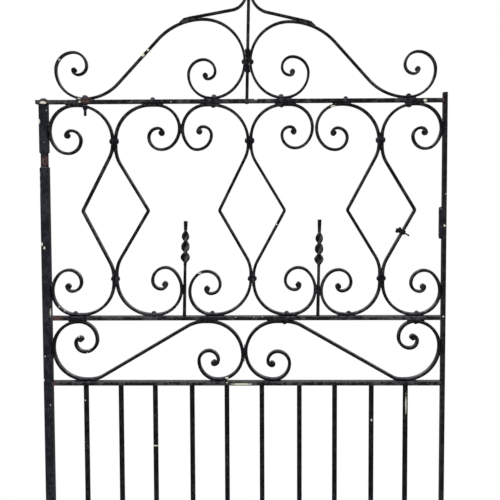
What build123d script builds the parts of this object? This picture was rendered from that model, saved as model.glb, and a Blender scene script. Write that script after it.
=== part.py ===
"""Wrought iron pedestrian gate leaf with lyre scrolls, a scrolled crest and plain lower bars.

Millimetres. X runs across the leaf from the heel stile to the latch stile, Z is up and the
front faces -Y. The origin is the centre of the flat lower end of the pivot pin.
"""

import math
import os

from build123d import *

# Leaf
CLEAR_WIDTH = 888.0
HEEL_WIDTH = 19.0
LATCH_WIDTH = 8.6
FRAME_DEPTH = 25.0
HEEL_FACE = HEEL_WIDTH / 2
LATCH_FACE = HEEL_FACE + CLEAR_WIDTH
EDGE = 1.6

# Levels of the rail centre lines
RAIL_THICKNESS = 9.0
TOP_RAIL_Z = 1600.0
MIDDLE_RAIL_Z = 1110.0
LOWER_RAIL_Z = 960.0
BOTTOM_RAIL_Z = 80.0
TENON_DEPTH = 14.0
TENON_PLAY = 0.1

# Heel stile: pivot pin, turned-down neck and riveted head
PIVOT_RADIUS = 8.0
PIVOT_LENGTH = 22.0
PIVOT_CHAMFER = 1.5
NECK_RADIUS = 9.0
NECK_LOW = 1455.0
NECK_HIGH = 1485.0
NECK_SHOULDER = 8.0
HEAD_RADIUS = 10.0
HEAD_HEIGHT = 5.0
HEAD_TENON = 12.0
RAIL_OVERHANG = 7.0

# Latch stile and its striking plate
LATCH_LOW = 58.0
LATCH_RISE = 13.0
PLATE_LENGTH = 72.0
PLATE_DEPTH = 22.0
PLATE_THICKNESS = 6.0
PLATE_CORNER = 9.0
PLATE_Z = 1325.5

# Lower bars
BAR_SIZE = 10.7
BAR_DRIFT = (-4.0, -4.5, -6.5, -2.5, -3.5, -4.0, 1.0, 1.0, 4.0, 1.0)

# Scroll stock
SCROLL_DEPTH = 16.0
LYRE_THICKNESS = 6.6
BAND_THICKNESS = 7.2
CREST_THICKNESS = 5.7
SCROLL_EDGE = 2.2
TOUCH = 0.1
EYE_TURN = 80.0
SNUB_TURN = 118.0
SNUB_INSIDE = 0.6

# Lyre pairs stand in three equal bays. Each pair's two meetings, its knees and the lines where
# neighbouring coils meet were set by eye, so each has its own offset from its even place.
BAYS = 3
UPPER_DRIFT = (0.8, 10.5, 8.8)
LOWER_DRIFT = (-0.5, 15.3, 11.8)
LEFT_KNEES = (-72.5, -58.5, -65.6)
RIGHT_KNEES = (77.0, 89.5, 86.8)
COIL_DRIFT = (4.1, 8.4)
COIL_GAP = 2.6
KNEE_BEND = 6.5
ARM_BEND = 72.0

# Twisted finials stand beside the lines between bays; one coil stays clear of its finial
SHANK_SIZE = 7.4
FINIAL_OFFSETS = (3.9, 7.9)
FINIAL_SHANKS = (115.5, 111.0)
FINIAL_STUBS = (20.0, 27.0)
FINIAL_LEANS = (1.3, 1.0)
FINIAL_CLEARANCE = 5.8
NECK_SIZES = (6.0, 6.4)

# Crest: the scrolls meet a little off the middle, and the spindle between them leans
CREST_DRIFT = 6.6
CREST_INSETS = (19.6, 17.6)
SPINDLE_SIZE = 7.0
SPINDLE_LEAN = 1.2
SPINDLE_SHANK = 247.0
SPINDLE_STUB = 20.0

# Band scrolls meet this far off the middle
BAND_DRIFT = -3.5

# Twisted finials
TWIST_RISE = 81.0
TWIST_PITCH = 50.0
TWIST_FLAT_ON = 17.5
TWIST_STATIONS = 26
TWIST_THICKNESS = 7.8
TWIST_CORNER = 2.4
TWIST_WIDTHS = (22.5, 15.5)
TWIST_TAPERS = (20.0, 15.0)
STUB_SIZE = 8.6

# Wire tie round one lyre bar
TIE_WIRE = 1.75
TIE_TURNS = 3
TIE_BELOW_KNEE = 57.0

os.makedirs("parts", exist_ok=True)


def export(piece, name):
    """Label one finished piece and write it out."""
    piece.part.label = name
    export_step(piece.part, f"parts/{name}.step")


def upright(x, z, side):
    """Drawing plane in the leaf; side -1 draws to the right, side 1 draws mirrored."""
    return Plane(origin=(x, 0, z), x_dir=(-side, 0, 0), z_dir=(0, side, 0))


def carry_on(edge, bends):
    """Run a line on from an edge: each bend is a radius and a turn, or a length and no turn."""
    for size, turn in bends:
        start = edge @ 1
        heading = edge % 1
        if turn == 0:
            edge = Line(start, start + heading * size)
        else:
            edge = JernArc(start=start, tangent=heading, radius=size, arc_size=turn)
    return edge


def coil(radii, hand, thickness):
    """Quarter bends of falling radius, closed by the small snub at the eye."""
    bends = [(radius, hand * 90.0) for radius in radii[:-1]]
    bends.append((radii[-1], hand * EYE_TURN))
    bends.append((thickness / 2 + SNUB_INSIDE, hand * SNUB_TURN))
    return bends


def s_bend_of_slope(run, fall, slope):
    """Sum of the two bend radii and the straight between them of an S of this run and fall."""
    sine = math.sin(math.radians(slope))
    cosine = math.cos(math.radians(slope))
    spread = sine * sine - cosine * (1 - cosine)
    radii = (run * sine - cosine * fall) / spread
    straight = (sine * fall - (1 - cosine) * run) / spread
    return radii, straight


def s_bend_of_radii(run, fall, radii):
    """Slope and straight of an S of this run and fall whose two bend radii add up to radii."""
    excess = radii - fall
    slope = math.asin(radii / math.hypot(run, excess)) - math.atan2(excess, run)
    straight = (run - radii * math.sin(slope)) / math.cos(slope)
    return math.degrees(slope), straight


def flat_bar(line, thickness, name):
    """Sweep the flat scroll section along a bent line."""
    route = line.wire()
    with BuildPart() as bar:
        with BuildSketch(Plane(origin=route @ 0, x_dir=(0, 1, 0), z_dir=route % 0)):
            RectangleRounded(SCROLL_DEPTH, thickness, SCROLL_EDGE)
        sweep(path=route)
    export(bar, name)


# Heel stile
with BuildPart() as heel:
    with BuildSketch(Plane.XY.offset(PIVOT_LENGTH)):
        RectangleRounded(HEEL_WIDTH, FRAME_DEPTH, EDGE)
    extrude(amount=TOP_RAIL_Z - RAIL_THICKNESS / 2 - PIVOT_LENGTH)
    with BuildSketch(Plane.XZ) as waist:
        with BuildLine():
            Polyline(
                (NECK_RADIUS, NECK_LOW),
                (NECK_RADIUS + 2 * NECK_SHOULDER, NECK_LOW - NECK_SHOULDER),
                (NECK_RADIUS + 2 * NECK_SHOULDER, NECK_HIGH + NECK_SHOULDER),
                (NECK_RADIUS, NECK_HIGH),
                close=True,
            )
        make_face()
    revolve(axis=Axis.Z, mode=Mode.SUBTRACT)
    for level in (MIDDLE_RAIL_Z, LOWER_RAIL_Z, BOTTOM_RAIL_Z):
        with BuildSketch(Plane.YZ.offset(-HEEL_WIDTH)):
            with Locations((0, level)):
                Rectangle(TENON_DEPTH + 2 * TENON_PLAY, RAIL_THICKNESS + 2 * TENON_PLAY)
        extrude(amount=2 * HEEL_WIDTH, mode=Mode.SUBTRACT)
    with BuildSketch(Plane.XY):
        Circle(PIVOT_RADIUS)
    extrude(amount=PIVOT_LENGTH)
    chamfer(heel.edges().group_by(Axis.Z)[0], PIVOT_CHAMFER)
    with BuildSketch(Plane.XY.offset(TOP_RAIL_Z - RAIL_THICKNESS / 2)):
        Rectangle(HEAD_TENON, TENON_DEPTH)
    extrude(amount=RAIL_THICKNESS)
    with BuildSketch(Plane.XZ) as dome:
        with BuildLine():
            crown = TOP_RAIL_Z + RAIL_THICKNESS / 2
            rim = Line((0, crown), (HEAD_RADIUS, crown))
            arch = TangentArc(
                (0, crown + HEAD_HEIGHT), rim @ 1, tangent=(1, 0)
            )
            Line(rim @ 0, arch @ 0)
        make_face()
    revolve(axis=Axis.Z)
export(heel, "heel_stile")

# Latch stile
with BuildPart() as latch:
    latch_top = TOP_RAIL_Z + RAIL_THICKNESS / 2 + LATCH_RISE
    with BuildSketch(Plane.XY.offset(LATCH_LOW)):
        with Locations((LATCH_FACE + LATCH_WIDTH / 2, 0)):
            RectangleRounded(LATCH_WIDTH, FRAME_DEPTH, EDGE)
    extrude(amount=latch_top - LATCH_LOW)
    for level in (TOP_RAIL_Z, MIDDLE_RAIL_Z, LOWER_RAIL_Z, BOTTOM_RAIL_Z):
        with BuildSketch(Plane.YZ.offset(LATCH_FACE - LATCH_WIDTH)):
            with Locations((0, level)):
                Rectangle(TENON_DEPTH + 2 * TENON_PLAY, RAIL_THICKNESS + 2 * TENON_PLAY)
        extrude(amount=3 * LATCH_WIDTH, mode=Mode.SUBTRACT)
export(latch, "latch_stile")

# Rails: the top one runs over the heel stile, the others are tenoned into it
for name, level in (
    ("top_rail", TOP_RAIL_Z),
    ("middle_rail", MIDDLE_RAIL_Z),
    ("lower_rail", LOWER_RAIL_Z),
    ("bottom_rail", BOTTOM_RAIL_Z),
):
    runs_over = name == "top_rail"
    rail_start = -HEEL_FACE - RAIL_OVERHANG if runs_over else HEEL_FACE
    with BuildPart() as rail:
        with BuildSketch(Plane.YZ.offset(rail_start)):
            with Locations((0, level)):
                RectangleRounded(FRAME_DEPTH, RAIL_THICKNESS, EDGE)
        extrude(amount=LATCH_FACE - rail_start)
        with BuildSketch(Plane.YZ.offset(LATCH_FACE)):
            with Locations((0, level)):
                Rectangle(TENON_DEPTH, RAIL_THICKNESS)
        extrude(amount=LATCH_WIDTH)
        if runs_over:
            with BuildSketch(Plane.XY.offset(level - RAIL_THICKNESS)):
                Rectangle(HEAD_TENON + 2 * TENON_PLAY, TENON_DEPTH + 2 * TENON_PLAY)
            extrude(amount=2 * RAIL_THICKNESS, mode=Mode.SUBTRACT)
        else:
            with BuildSketch(Plane.YZ.offset(-HEEL_FACE)):
                with Locations((0, level)):
                    Rectangle(TENON_DEPTH, RAIL_THICKNESS)
            extrude(amount=HEEL_WIDTH)
    export(rail, name)

# Lower bars, spaced by eye between the stiles
bar_low = BOTTOM_RAIL_Z + RAIL_THICKNESS / 2
bar_high = LOWER_RAIL_Z - RAIL_THICKNESS / 2
for number, drift in enumerate(BAR_DRIFT, start=1):
    bar_x = HEEL_FACE + CLEAR_WIDTH * number / (len(BAR_DRIFT) + 1) + drift
    with BuildPart() as infill:
        with BuildSketch(Plane.XY.offset(bar_low)):
            with Locations((bar_x, 0)):
                RectangleRounded(BAR_SIZE, BAR_SIZE, EDGE)
        extrude(amount=bar_high - bar_low)
    export(infill, f"bar_{number:02d}")

# Lyre scrolls: a knee, two arms that lean to the pair's axis, and a coil on each rail
lyre_line = LYRE_THICKNESS / 2 + TOUCH
lyre_top = TOP_RAIL_Z - RAIL_THICKNESS / 2 - lyre_line
lyre_bottom = MIDDLE_RAIL_Z + RAIL_THICKNESS / 2 + lyre_line
lyre_level = (lyre_top + lyre_bottom) / 2
lyre_half = (lyre_top - lyre_bottom) / 2
bay = CLEAR_WIDTH / BAYS
bay_middles = [HEEL_FACE + bay * (number + 0.5) for number in range(BAYS)]
upper_meetings = [middle + drift for middle, drift in zip(bay_middles, UPPER_DRIFT)]
lower_meetings = [middle + drift for middle, drift in zip(bay_middles, LOWER_DRIFT)]
left_knees = [middle + reach for middle, reach in zip(bay_middles, LEFT_KNEES)]
right_knees = [middle + reach for middle, reach in zip(bay_middles, RIGHT_KNEES)]
coil_lines = [HEEL_FACE + bay * (number + 1) + drift for number, drift in enumerate(COIL_DRIFT)]
finial_axes = [line + offset for line, offset in zip(coil_lines, FINIAL_OFFSETS)]


def lyre_arm(across, up):
    """Slope and length of the straight arm that runs from the knee to the arm bend."""
    distance = math.hypot(across - ARM_BEND, up)
    slope = math.degrees(math.atan2(up, across - ARM_BEND) - math.asin(ARM_BEND / distance))
    return slope, math.sqrt(distance**2 - ARM_BEND**2)


def lyre_end(meeting, knee_x, outside, length, flat, radii):
    """Arm slope, arm length and the bends after it, for one end of a lyre bar."""
    belly = abs(meeting - outside) - 2 * lyre_line - flat - radii[0]
    slope, arm = lyre_arm(abs(meeting - knee_x) - lyre_line, lyre_half - belly - length)
    bends = [(ARM_BEND, 90 - slope), (length, 0), (belly, 90), (flat, 0)]
    bends += [(radii[0], 135), (radii[1], 45)]
    return slope, arm, bends + coil(radii[2:], 1, LYRE_THICKNESS)


def lyre_scroll(name, side, knee_x, upper, lower):
    """One bar of a lyre pair.

    Upper and lower each give the meeting with the other bar, the outside of the coil, the
    length that lies against the other bar, the flat on the rail, and the radii of the coil
    from the rail to the eye.
    """
    slope_up, arm_up, bends_up = lyre_end(upper[0], knee_x, *upper[1:])
    slope_down, arm_down, bends_down = lyre_end(lower[0], knee_x, *lower[1:])
    turn = 180 - slope_up - slope_down
    cut = KNEE_BEND * math.tan(math.radians(turn / 2))
    down = math.radians(slope_down)
    with BuildLine(upright(knee_x, lyre_level, side)) as line:
        corner = JernArc(
            start=(cut * math.cos(down), -cut * math.sin(down)),
            tangent=(-math.cos(down), math.sin(down)),
            radius=KNEE_BEND,
            arc_size=-turn,
        )
        carry_on(corner, [(arm_up - cut, 0)] + bends_up)
        arm = Line(corner @ 0, corner @ 0 - (corner % 0) * (arm_down - cut))
        carry_on(arm, [(size, -bend) for size, bend in bends_down])
    flat_bar(line, LYRE_THICKNESS, name)


# Where a coil lies against the leaning, tapering shank of a finial
coil_height = 55.0


def finial_side(number, side):
    """Face of a finial's shank at the height of the coils; side -1 is its left face."""
    share = coil_height / FINIAL_SHANKS[number]
    half = (SHANK_SIZE + share * (NECK_SIZES[number] - SHANK_SIZE)) / 2
    lean = coil_height * math.tan(math.radians(FINIAL_LEANS[number]))
    return finial_axes[number] + lean + side * (half + TOUCH)


free_coil = finial_axes[0] + SHANK_SIZE / 2 + FINIAL_CLEARANCE

lyre_scroll(
    "lyre_scroll_1_left",
    -1,
    left_knees[0],
    (upper_meetings[0], HEEL_FACE, 6.0, 6.0, (57.2, 34.0, 29.5, 22.0, 12.3)),
    (lower_meetings[0], HEEL_FACE, 13.0, 13.0, (54.5, 32.0, 27.8, 20.9, 12.8)),
)
lyre_scroll(
    "lyre_scroll_1_right",
    1,
    right_knees[0],
    (upper_meetings[0], coil_lines[0] - TOUCH, 17.0, 14.0, (51.8, 37.5, 27.5, 20.5, 12.0)),
    (lower_meetings[0], finial_side(0, -1), 13.0, 9.0, (58.5, 27.0, 29.8, 19.5, 12.6)),
)
lyre_scroll(
    "lyre_scroll_2_left",
    -1,
    left_knees[1],
    (upper_meetings[1], coil_lines[0], 7.0, 12.0, (54.5, 23.0, 32.8, 18.6, 12.2)),
    (lower_meetings[1], free_coil, 14.0, 6.0, (52.0, 34.0, 30.0, 21.0, 12.5)),
)
lyre_scroll(
    "lyre_scroll_2_right",
    1,
    right_knees[1],
    (upper_meetings[1], coil_lines[1] - COIL_GAP / 2, 17.0, 13.0, (51.0, 34.0, 29.5, 18.0, 12.0)),
    (lower_meetings[1], finial_side(1, -1), 14.0, 8.0, (57.5, 30.5, 29.5, 21.0, 12.5)),
)
lyre_scroll(
    "lyre_scroll_3_left",
    -1,
    left_knees[2],
    (upper_meetings[2], coil_lines[1] + COIL_GAP / 2, 5.0, 6.0, (53.0, 37.0, 27.0, 21.8, 12.5)),
    (lower_meetings[2], finial_side(1, 1), 22.0, 5.0, (54.0, 33.0, 28.0, 20.5, 12.0)),
)
lyre_scroll(
    "lyre_scroll_3_right",
    1,
    right_knees[2],
    (upper_meetings[2], LATCH_FACE, 21.0, 6.0, (53.5, 28.0, 28.0, 18.5, 11.5)),
    (lower_meetings[2], LATCH_FACE, 22.0, 6.0, (53.5, 29.6, 29.0, 19.0, 12.0)),
)

# Band scrolls between the middle and lower rails
band_line = BAND_THICKNESS / 2 + TOUCH
band_top = MIDDLE_RAIL_Z - RAIL_THICKNESS / 2 - band_line
band_bottom = LOWER_RAIL_Z + RAIL_THICKNESS / 2 + band_line
band_height = band_top - band_bottom
band_x = HEEL_FACE + CLEAR_WIDTH / 2 + BAND_DRIFT


def band_scroll(
    name, stile_x, side, shoulder, foot, crown, flats, head, outer_coil, inner_coil
):
    """One S-bar from a stile to the middle of the band; flats lie on the lower and upper rail."""
    heel_bend = band_height - shoulder
    reach = abs(band_x - stile_x) - band_line
    run = reach - head - sum(flats) - band_line - heel_bend
    slope, straight = s_bend_of_radii(run, band_height, foot + crown)
    with BuildLine(upright(stile_x, band_top, side)) as line:
        first = JernArc(
            start=(band_line + shoulder, 0), tangent=(-1, 0), radius=shoulder, arc_size=90
        )
        carry_on(
            first,
            [(heel_bend, 90), (flats[0], 0), (foot, slope), (straight, 0)]
            + [(crown, -slope), (flats[1], 0), (head, -90), (band_height - head, -90)]
            + coil(inner_coil, -1, BAND_THICKNESS),
        )
        back = JernArc(
            start=first @ 0, tangent=first % 0 * -1, radius=outer_coil[0], arc_size=-90
        )
        carry_on(back, coil(outer_coil[1:], -1, BAND_THICKNESS))
    flat_bar(line, BAND_THICKNESS, name)


band_scroll(
    "band_scroll_left",
    HEEL_FACE,
    -1,
    59.0,
    62.0,
    80.0,
    (7.0, 9.0),
    77.0,
    (41.5, 28.0, 21.3, 12.3),
    (43.5, 23.0, 21.5, 10.6),
)
band_scroll(
    "band_scroll_right",
    LATCH_FACE,
    1,
    56.0,
    45.0,
    76.0,
    (7.0, 19.0),
    71.0,
    (36.5, 25.0, 17.6, 11.4),
    (37.0, 27.5, 22.0, 10.6),
)

# Crest scrolls and the ogee bars that rise from them to the spindle
crest_line = CREST_THICKNESS / 2 + TOUCH
crest_foot = RAIL_THICKNESS / 2 + crest_line
crest_gap = SPINDLE_SIZE / 2 + crest_line
crest_x = HEEL_FACE + CLEAR_WIDTH / 2 + CREST_DRIFT
LOW_BENDS = (86.0, 70.0)
OGEE_RISE = 229.0
HALF_TURN_SINE = math.sin(math.pi / 4)
contact_rise = crest_foot + LOW_BENDS[0] * HALF_TURN_SINE + LOW_BENDS[1] * (1 - HALF_TURN_SINE)


def crest_side(
    tag, side, top, outside, slope, share, outer_coil, inner_coil, lift, sweep_radius
):
    """The crest scroll of one side and its ogee bar."""
    crown = top - contact_rise
    run = outside - outer_coil[0] - crest_gap - crown
    radii, straight = s_bend_of_slope(run, top - crest_foot, slope)
    shoulder = share * radii
    with BuildLine(upright(crest_x, TOP_RAIL_Z, side)) as line:
        up = JernArc(
            start=(-crest_gap, contact_rise), tangent=(0, 1), radius=crown, arc_size=90
        )
        carry_on(
            up,
            [(shoulder, slope), (straight, 0), (radii - shoulder, -slope)]
            + coil(outer_coil, -1, CREST_THICKNESS),
        )
        down = JernArc(
            start=up @ 0, tangent=up % 0 * -1, radius=LOW_BENDS[0], arc_size=-45
        )
        carry_on(down, [(LOW_BENDS[1], -45)] + coil(inner_coil, -1, CREST_THICKNESS))
    flat_bar(line, CREST_THICKNESS, f"crest_scroll_{tag}")

    lean = math.radians(lift)
    rest = shoulder + CREST_THICKNESS + TOUCH
    seat_x = -crest_gap - crown - rest * math.sin(lean)
    seat_z = top - shoulder + rest * math.cos(lean)
    rise_end = 78.0
    sweep_run = sweep_radius * (math.sin(math.radians(rise_end)) - math.sin(lean))
    drift = -side * math.tan(math.radians(SPINDLE_LEAN)) * (OGEE_RISE - contact_rise)
    slack = (-crest_gap + drift - seat_x - sweep_run) / math.cos(lean)
    with BuildLine(upright(crest_x, TOP_RAIL_Z, side)) as line:
        ramp = Line(
            (seat_x, seat_z),
            (seat_x + slack * math.cos(lean), seat_z + slack * math.sin(lean)),
        )
        carry_on(ramp, [(sweep_radius, rise_end - lift)])
        JernArc(start=ramp @ 0, tangent=ramp % 0 * -1, radius=rest, arc_size=7.5)
    flat_bar(line, CREST_THICKNESS, f"crest_ogee_{tag}")


crest_side(
    "left",
    -1,
    182.0,
    crest_x - HEEL_FACE - CREST_INSETS[0],
    47.0,
    0.57,
    (63.8, 39.5, 30.0, 20.0, 11.5),
    (51.5, 34.0, 26.0, 17.0, 8.5),
    10.2,
    38.0,
)
crest_side(
    "right",
    1,
    175.5,
    LATCH_FACE - crest_x - CREST_INSETS[1],
    48.0,
    0.54,
    (61.8, 39.0, 29.0, 20.0, 11.5),
    (55.0, 36.0, 23.0, 18.0, 8.5),
    13.0,
    46.0,
)


def taper(share):
    """Rises smoothly from 0 to 1 over the length of a drawn-down end."""
    return math.sin(math.pi / 2 * min(1.0, share)) ** 1.2


def twisted_bar(name, x, foot, shank, stub, foot_size, neck_size, lean):
    """Square shank, flat twisted head of one and a half turns, and a square stub on top."""
    tilt = math.radians(lean)
    stand = Plane(
        origin=(x, 0, foot + TOUCH),
        x_dir=(math.cos(tilt), 0, -math.sin(tilt)),
        z_dir=(math.sin(tilt), 0, math.cos(tilt)),
    )
    with BuildPart() as bar:
        with BuildSketch(stand):
            Rectangle(foot_size, foot_size)
        with BuildSketch(stand.offset(shank)):
            Rectangle(neck_size, neck_size)
        loft(ruled=True)
        for station in range(TWIST_STATIONS + 1):
            share = station / TWIST_STATIONS
            rise = share * TWIST_RISE
            full = TWIST_WIDTHS[0] + share * (TWIST_WIDTHS[1] - TWIST_WIDTHS[0])
            swell = taper(rise / TWIST_TAPERS[0]) * taper((TWIST_RISE - rise) / TWIST_TAPERS[1])
            width = neck_size + (full - neck_size) * swell
            depth = neck_size + (TWIST_THICKNESS - neck_size) * swell
            turn = 360.0 * (rise - TWIST_FLAT_ON) / TWIST_PITCH
            with BuildSketch(stand.offset(shank + rise).rotated((0, 0, turn))):
                RectangleRounded(width + 0.1, depth, TWIST_CORNER)
        loft()
        with BuildSketch(stand.offset(shank + TWIST_RISE)):
            Rectangle(STUB_SIZE - 1.4, STUB_SIZE - 1.4)
        with BuildSketch(stand.offset(shank + TWIST_RISE + stub)):
            Rectangle(STUB_SIZE, STUB_SIZE)
        loft(ruled=True)
    export(bar, name)


rail_top = RAIL_THICKNESS / 2
twisted_bar(
    "twisted_finial_left",
    finial_axes[0],
    MIDDLE_RAIL_Z + rail_top,
    FINIAL_SHANKS[0],
    FINIAL_STUBS[0],
    SHANK_SIZE,
    NECK_SIZES[0],
    FINIAL_LEANS[0],
)
twisted_bar(
    "twisted_finial_right",
    finial_axes[1],
    MIDDLE_RAIL_Z + rail_top,
    FINIAL_SHANKS[1],
    FINIAL_STUBS[1],
    SHANK_SIZE,
    NECK_SIZES[1],
    FINIAL_LEANS[1],
)
twisted_bar(
    "crest_spindle",
    crest_x - math.tan(math.radians(SPINDLE_LEAN)) * (contact_rise - rail_top),
    TOP_RAIL_Z + rail_top,
    SPINDLE_SHANK,
    SPINDLE_STUB,
    SPINDLE_SIZE,
    SPINDLE_SIZE,
    SPINDLE_LEAN,
)

# Striking plate on the inner face of the latch stile
with BuildPart() as plate:
    with BuildSketch(Plane.YZ.offset(LATCH_FACE - PLATE_THICKNESS)):
        with Locations((0, PLATE_Z)):
            RectangleRounded(PLATE_DEPTH, PLATE_LENGTH, PLATE_CORNER)
    extrude(amount=PLATE_THICKNESS)
    chamfer(plate.edges().group_by(Axis.X)[0], 0.8)
export(plate, "striking_plate")

# Wire tie wound round the lower arm of the last lyre bar
tie_knee = right_knees[2]
tie_belly = LATCH_FACE - lower_meetings[2] - 2 * lyre_line - 6.0 - 53.5
tie_slope, tie_arm = lyre_arm(
    tie_knee - lower_meetings[2] - lyre_line, lyre_half - tie_belly - 22.0
)
tie_lean = math.radians(tie_slope)
tie_down = Vector(-math.cos(tie_lean), 0, -math.sin(tie_lean))
tie_centre = Vector(tie_knee, 0, lyre_level) + tie_down * TIE_BELOW_KNEE
tie_across = Vector(-math.sin(tie_lean), 0, math.cos(tie_lean))
tie_loops = []
for turn in range(TIE_TURNS):
    offset = (turn - (TIE_TURNS - 1) / 2) * 1.8 * TIE_WIRE
    ring_plane = Plane(
        origin=tie_centre + tie_down * offset, x_dir=(0, 1, 0), z_dir=tie_down
    )
    with BuildSketch(ring_plane) as ring:
        RectangleRounded(
            SCROLL_DEPTH + 2 * (TIE_WIRE + TOUCH),
            LYRE_THICKNESS + 2 * (TIE_WIRE + TOUCH),
            TIE_WIRE + SCROLL_EDGE,
        )
    tie_loops.append(ring.sketch.face().outer_wire())
with BuildPart() as tie:
    for loop in tie_loops:
        with BuildSketch(Plane(origin=loop @ 0, z_dir=loop % 0)):
            Circle(TIE_WIRE)
        sweep(path=loop)
    knot = tie_centre + tie_across * (LYRE_THICKNESS / 2 + 4.8)
    with Locations(knot - Vector(0, SCROLL_DEPTH / 4, 0)):
        Sphere(4.2)
    for start, end in (
        (knot, knot + Vector(-6.5, -5.0, 3.5)),
        (tie_centre - tie_across * 5.0, tie_centre - tie_across * 5.0 + Vector(10.0, -5.0, -6.0)),
    ):
        with BuildSketch(Plane(origin=start - Vector(0, 4.0, 0), z_dir=end - start)):
            Circle(TIE_WIRE)
        extrude(amount=(end - start).length)
export(tie, "wire_tie")
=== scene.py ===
"""Paint, rivets, welds and studio for a scrolled wrought iron gate leaf.

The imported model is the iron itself. This script adds what a smith and fifty years of paint put on
it: rivet heads, one bolt with its nut, the hammered eyes of the coils, the knot of the wire tie,
weld and paint build-up in the crevices, and layered black paint with chips and rust. Sizes are in
millimetres in the dataclasses and in metres in the meshes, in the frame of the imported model: X
across the leaf, Z up, the front facing -Y.
"""

from __future__ import annotations

import logging
import math
from dataclasses import dataclass
from enum import Enum
from functools import cache, cached_property, reduce
from typing import Any, Sequence

import bmesh
import bpy
from mathutils import Matrix, Vector, noise


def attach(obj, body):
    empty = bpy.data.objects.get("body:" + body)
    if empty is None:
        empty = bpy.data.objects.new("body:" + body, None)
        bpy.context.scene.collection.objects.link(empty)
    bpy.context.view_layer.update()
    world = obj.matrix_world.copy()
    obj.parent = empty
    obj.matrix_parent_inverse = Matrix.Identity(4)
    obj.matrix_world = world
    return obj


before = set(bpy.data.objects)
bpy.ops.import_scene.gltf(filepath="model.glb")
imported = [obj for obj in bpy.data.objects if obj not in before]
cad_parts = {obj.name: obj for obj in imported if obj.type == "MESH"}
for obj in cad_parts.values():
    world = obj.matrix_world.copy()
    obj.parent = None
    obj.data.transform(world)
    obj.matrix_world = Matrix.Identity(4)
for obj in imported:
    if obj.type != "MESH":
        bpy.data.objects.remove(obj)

MM = 0.001
ROOT = "root"

log = logging.getLogger("gate")

Colour = tuple[float, float, float]
Point = tuple[float, float, float]
Span = tuple[float, float]
Mesh = bmesh.types.BMesh
Vert = bmesh.types.BMVert
Edge = bmesh.types.BMEdge
Material = bpy.types.Material
Node = bpy.types.Node
Socket = bpy.types.NodeSocket
Tone = Socket | Colour

WHITE = (1.0, 1.0, 1.0, 1.0)


class Facing(Enum):
    """Directions in the leaf, as unit vectors."""

    UP = (0.0, 0.0, 1.0)
    DOWN = (0.0, 0.0, -1.0)
    LEFT = (-1.0, 0.0, 0.0)
    RIGHT = (1.0, 0.0, 0.0)
    FRONT = (0.0, -1.0, 0.0)

    @property
    def vector(self) -> Vector:
        """The direction as a vector."""
        return Vector(self.value)


class Value:
    """A number that varies over a surface: an output socket with arithmetic on it."""

    def __init__(self, paintbox: Paintbox, socket: Socket) -> None:
        """Wraps a socket of a paintbox."""
        self.paintbox = paintbox
        self.socket = socket

    def _math(self, operation: str, *operands: Value | float) -> Value:
        """Adds one Math node.

        Args:
            operation: Blender's name of the operation.
            operands: Values or plain numbers, in the node's order.

        Returns:
            The node's result.
        """
        node = self.paintbox.node(
            "ShaderNodeMath", {"operation": operation}, dict(enumerate(operands))
        )
        return Value(self.paintbox, node.outputs[0])

    def __add__(self, other: Value | float) -> Value:
        """Sum with a value or a number."""
        return self._math("ADD", self, other)

    __radd__ = __add__

    def __sub__(self, other: Value | float) -> Value:
        """Difference from a value or a number."""
        return self._math("SUBTRACT", self, other)

    def __rsub__(self, other: Value | float) -> Value:
        """Difference of a number from this value."""
        return self._math("SUBTRACT", other, self)

    def __mul__(self, other: Value | float) -> Value:
        """Product with a value or a number."""
        return self._math("MULTIPLY", self, other)

    __rmul__ = __mul__

    def highest(self, other: Value | float) -> Value:
        """The larger of this and another value."""
        return self._math("MAXIMUM", self, other)

    def lowest(self, other: Value | float) -> Value:
        """The smaller of this and another value."""
        return self._math("MINIMUM", self, other)

    def step(self, low: float, high: float) -> Value:
        """Rises smoothly from 0 at low to 1 at high.

        Args:
            low: The value at which the result leaves 0.
            high: The value at which the result reaches 1.

        Returns:
            A mask from 0 to 1.
        """
        node = self.paintbox.node(
            "ShaderNodeMapRange",
            {"interpolation_type": "SMOOTHSTEP", "clamp": True},
            {"Value": self, "From Min": low, "From Max": high, "To Min": 0.0, "To Max": 1.0},
        )
        return Value(self.paintbox, node.outputs[0])


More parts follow.
